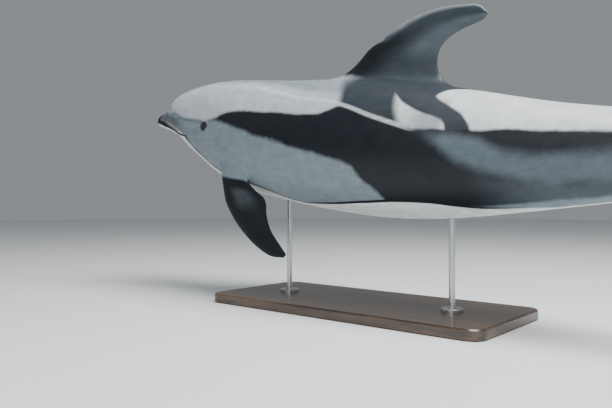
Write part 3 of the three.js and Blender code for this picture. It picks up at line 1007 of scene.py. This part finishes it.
class Paint(Nodes):
    """The skin's colour, laid on in layers whose edges wander a little."""

    def __init__(self, name):
        super().__init__(name)
        self.station = self.attribute("station")
        self.wander = self.swing(*WANDER, 4)
        self.wobble = self.math("ADD", self.wander, self.swing(*RIPPLE, 3))
        self.colour = FLANK

    def swing(self, scale, size, detail):
        """Noise about zero, in millimetres."""
        return self.times(self.math("SUBTRACT", self.noise(scale, detail), 0.5), size)

    def rough(self, value, share=1.0):
        """A distance with a share of the wobble added."""
        return self.math("ADD", value, self.times(self.wobble, share))

    def mask(self, name, soft, at=0.0, share=1.0):
        """1 inside a marking, 0 outside it."""
        return self.ramp(self.rough(self.attribute(name), share), at - soft, at + soft)

    def along(self, low, high, to_low=0.0, to_high=1.0):
        """A ramp along the body."""
        return self.ramp(self.station, low, high, to_low, to_high)

    def lay(self, factor, paint):
        self.colour = self.mix(factor, self.colour, paint)


def paint_flanks(p):
    """Dark sides, partly painted shade; a patch on each flank, its pale grey painted dim as in shade; a
    grey chest.
    """
    # dark sides: partly the dark flank, partly painted shade below the back's edge
    p.lay(p.along(300, 362), BAND)
    p.lay(p.times(p.mask("patch", 18, share=0.8), p.along(1200, 1330)), SHADED_PATCH)
    p.lay(p.times(p.along(1330, 1560), p.mask("low", 30), 0.6), SHADED_PATCH)
    p.lay(p.mask("chest", 9, share=0.6), FLANK)


def paint_back(p):
    """Light nape, dark cape and the back fin's painted cast shadow, pale between and behind them; the
    stripe and the bridle.
    """
    back = p.mix(p.mask("above_stripe", 22, 30), NAPE, CROWN_AND_FIN_HIGHLIGHT)
    back = p.mix(p.along(1060, 1120), back, PALE)
    between = p.times(p.along(1150, 1250), p.along(1280, 1300, 1, 0), p.ramp("from_back", 105, 135))
    back = p.mix(p.times(between, 0.55), back, MID)
    # the cape, and the back fin's cast shadow painted dark in the same colour
    dark = p.math("MAXIMUM", p.mask("cape", 16, share=0.4), p.mask("fin_shadow", 5, share=0.25))
    back = p.mix(p.times(dark, p.along(850, 960)), back, CAPE_AND_FIN_SHADOW)
    # the back's colours end at a sharp edge along the line between light and painted shade
    p.lay(p.mask("top", 6, share=0.4), back)
    stripe = p.times(p.ramp("stripe", -4, 3), p.along(1160, 1240, 1, 0), p.along(420, 640, 0.2, 0.75))
    p.lay(stripe, PALE)
    p.lay(p.ramp("bridle", 1, 7, 0.35, 0), BAND)


def paint_belly(p):
    """White, with a black line that runs from the mouth past the flipper."""
    p.lay(p.mask("belly", 2.5, share=0.1), WHITE)
    line = p.ramp(p.math("ABSOLUTE", p.rough(p.attribute("belly"), 0.12)), 3.5, 7.5, 1, 0)
    p.lay(p.times(line, p.along(226, 240), p.along(1350, 1550, 1, 0)), DARK)


def paint_face(p):
    """Grey upper beak, black lips and beak tip, a ring round the eye, and painted shade in the blowhole's
    slit.
    """
    p.lay(p.times(p.ramp("from_lips", -1, 2), p.ramp("beak", -6, 14), p.along(150, 236, 0.85, 0)), BEAK)
    tip = p.ramp(p.rough(p.station, 0.4), 18, 60, 1, 0)
    p.lay(p.times(tip, p.ramp("from_lips", -15, -7)), LIPS_AND_SLIT_SHADE)
    lips = p.math("DIVIDE", p.attribute("lips"), p.along(150, 245, 1, 0.5))
    p.lay(p.ramp(lips, 4.5, 8.5, 1, 0), LIPS_AND_SLIT_SHADE)
    p.lay(p.ramp(p.rough(p.attribute("eye"), 0.25), 3, 15, 1, 0), BAND)
    # painted shade in the blowhole's slit, over its groove in the geometry
    crescent = p.ramp(p.math("ABSOLUTE", p.attribute("blowhole")), 1.2, 3.2, 1, 0)
    width = p.ramp("from_back", BLOWHOLE[1] - 5, BLOWHOLE[1] + 1, 1, 0)
    p.lay(p.times(crescent, width), LIPS_AND_SLIT_SHADE)


def paint_fins(p):
    """Back fin dark in front and grey behind, with a painted highlight along its upper leading edge; dark
    flippers and flukes.
    """
    rear = p.times(p.ramp("chord", 0.45, 0.75), p.ramp("dorsal", 20, 90))
    front = p.times(p.ramp("chord", 0.22, 0.60, 1, 0), p.ramp("dorsal", 90, 210, 1, 0))
    # a painted highlight along the upper leading edge, where the rim catches the light
    edge = p.times(p.ramp("chord", 0.04, 0.22, 0.75, 0), p.ramp("dorsal", 110, 200))
    fin = p.mix(edge, p.mix(front, p.mix(rear, FIN, FIN_REAR), DARK), CROWN_AND_FIN_HIGHLIGHT)
    p.lay(p.ramp(p.math("ADD", p.attribute("dorsal"), p.wander), -58, -30), fin)
    pale = p.times(p.ramp("flipper", -5, 40), p.ramp("flipper", 60, 130, 1, 0),
                   p.ramp("chord", 0.2, 0.45), p.ramp("chord", 0.6, 0.9, 0.5, 0))
    p.lay(p.ramp(p.rough(p.attribute("flipper"), 0.3), -30, -18), p.mix(pale, DARK, MID))
    p.lay(p.ramp(p.rough(p.station), 1960, 2080), BAND)


def paint_slits(p):
    """Paints shade into the slits in the belly, and returns their mask."""
    lengths = [p.times(p.along(start, start + 6), p.along(end, end + 6, 1, 0)) for start, end in SLITS]
    length = p.math("ADD", p.math("ADD", lengths[0], lengths[1]), lengths[2])
    slit = p.times(p.ramp("from_belly", 0.8, 3.2, 1, 0), length)
    # painted shade along the slits
    p.lay(p.times(slit, 0.8), SLIT_SHADE)
    return slit


def skin_material():
    p = Paint("dolphin_skin")
    paint_flanks(p)
    paint_back(p)
    paint_belly(p)
    paint_face(p)
    paint_fins(p)
    slit = paint_slits(p)
    # faint mottling, and streaks along the body
    mottle = p.ramp(p.noise(30, 6, roughness=0.65), 0.3, 0.7, 0.88, 1.08)
    streaks = p.ramp(p.noise(12, 4, p.stretched((1.0, 9.0, 9.0))), 0.3, 0.7, 0.93, 1.05)
    shade = p.times(mottle, streaks)
    grey = p.add("ShaderNodeCombineColor", {"Red": shade, "Green": shade, "Blue": shade})
    p.set("Base Color", p.mix(1.0, p.colour, grey.outputs[0], "MULTIPLY"))
    p.set("Roughness", p.ramp(p.noise(24, 4), 0.3, 0.75, 0.38, 0.52))
    p.set("Specular IOR Level", 0.28)
    normal = p.bump(p.noise(7, 3), 0.006, 0.35)
    normal = p.bump(p.noise(380, 3), 0.0005, 0.3, normal)
    p.set("Normal", p.bump(slit, 0.0015, -0.8, normal))
    return p.material


def eye_material():
    n = Nodes("dolphin_eye")
    fibres = n.noise(900, 3)
    iris = n.mix(n.ramp(fibres, 0.35, 0.7), *IRIS)
    iris = n.mix(n.ramp("from_axis", 6.0, 8.6), iris, IRIS_EDGE)
    white = n.mix(n.ramp(n.noise(260, 4), 0.45, 0.62), *EYE_WHITE)
    colour = n.mix(n.ramp("from_axis", 8.8, 10.2), iris, white)
    colour = n.mix(n.ramp("pupil", 2.2, 2.8, 1, 0), colour, PUPIL)
    n.set("Base Color", colour)
    n.set("Roughness", 0.12)
    n.set("Coat Weight", 1.0)
    n.set("Coat Roughness", 0.02)
    n.set("Normal", n.bump(fibres, 0.0002, 0.15))
    return n.material


def wood_material():
    n = Nodes("stained_wood")
    grain = n.noise(7, 6, n.stretched((0.6, 6.0, 6.0)), 0.6)
    pores = n.noise(26, 3, n.stretched((0.7, 22.0, 22.0)))
    colour = n.mix(n.ramp(grain, 0.32, 0.68), *WOOD)
    colour = n.mix(n.ramp(pores, 0.60, 0.72, 0, 0.6), colour, WOOD_PORES)
    n.set("Base Color", colour)
    n.set("Roughness", n.ramp(grain, 0.3, 0.7, 0.30, 0.42))
    n.set("Coat Weight", 0.4)
    n.set("Coat Roughness", 0.15)
    n.set("Normal", n.bump(pores, 0.0004, -0.4))
    return n.material


def steel_material():
    n = Nodes("brushed_steel")
    lines = n.noise(60, 3, n.stretched((1.0, 1.0, 40.0)))
    n.set("Base Color", n.mix(n.ramp(lines, 0.3, 0.7), *STEEL))
    n.set("Metallic", 1.0)
    n.set("Roughness", n.ramp(lines, 0.3, 0.7, 0.24, 0.36))
    n.set("Normal", n.bump(lines, 0.0002, 0.2))
    return n.material


# ---- studio

FLOOR = (0.80, 0.82, 0.83)
FLOOR_RADIUS = 12
FLOOR_SIDES = 90
BACKDROP = (0.80, 0.84, 0.87, 1)
BACKDROP_STRENGTH = 0.33
# name, place, what it points at, diameter, power
LIGHTS = [
    ("key", (1.5, -0.2, 3.4), (-0.1, 0, 0.5), 2.4, 240),
    ("fill", (1.2, -3.4, 2.0), (0, 0, 0.5), 2.6, 50),
]
CAMERA = {"place": (1.098, -1.565, 0.328), "heading": 40.36 * DEG, "lens": 36.0, "sensor": 36.0}


def add_floor():
    mesh = bpy.data.meshes.new("floor")
    turns = [2 * math.pi * k / FLOOR_SIDES for k in range(FLOOR_SIDES)]
    corners = [(FLOOR_RADIUS * math.cos(turn), FLOOR_RADIUS * math.sin(turn), 0) for turn in turns]
    mesh.from_pydata(corners, [], [tuple(range(FLOOR_SIDES))])
    obj = add_object("floor", mesh)
    n = Nodes("floor")
    n.set("Base Color", n.mix(n.noise(3), FLOOR, tuple(0.96 * c for c in FLOOR)))
    n.set("Roughness", 0.8)
    mesh.materials.append(n.material)


def add_camera():
    data = bpy.data.cameras.new("camera")
    data.lens = CAMERA["lens"]
    data.sensor_width = CAMERA["sensor"]
    obj = add_object("camera", data)
    obj.location = CAMERA["place"]
    obj.rotation_euler = (math.pi / 2, 0, CAMERA["heading"])
    bpy.context.scene.camera = obj


def add_light(name, place, aim, size, power):
    data = bpy.data.lights.new(name, "AREA")
    data.shape = "DISK"
    data.size = size
    data.energy = power
    obj = add_object(name, data)
    obj.location = place
    obj.rotation_euler = (Vector(aim) - Vector(place)).to_track_quat("-Z", "Y").to_euler()


def add_world():
    world = bpy.data.worlds.new("studio")
    world.use_nodes = True
    background = world.node_tree.nodes["Background"]
    background.inputs["Color"].default_value = BACKDROP
    background.inputs["Strength"].default_value = BACKDROP_STRENGTH
    bpy.context.scene.world = world


# ---- the scene

body = make_body()
body.data.materials.append(skin_material())
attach(body, "root")
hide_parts("head", "lower_jaw", "thorax", "midbody", "tail_stock", "dorsal_fin",
            "flipper_left", "flipper_right", "fluke_left", "fluke_right")

eye_paint = eye_material()
for side, sign in (("left", -1), ("right", 1)):
    eyeball = make_eyeball(f"eyeball_{side}", sign)
    eyeball.data.materials.append(eye_paint)
    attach(eyeball, "root")
    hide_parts(f"eye_{side}")

wood, steel = wood_material(), steel_material()
bpy.data.objects["stand_base"].material_slots[0].material = wood
for part in ("rod_front", "rod_rear", "flange_front", "flange_rear"):
    bpy.data.objects[f"stand_{part}"].material_slots[0].material = steel

add_floor()
add_camera()
for light in LIGHTS:
    add_light(*light)
add_world()
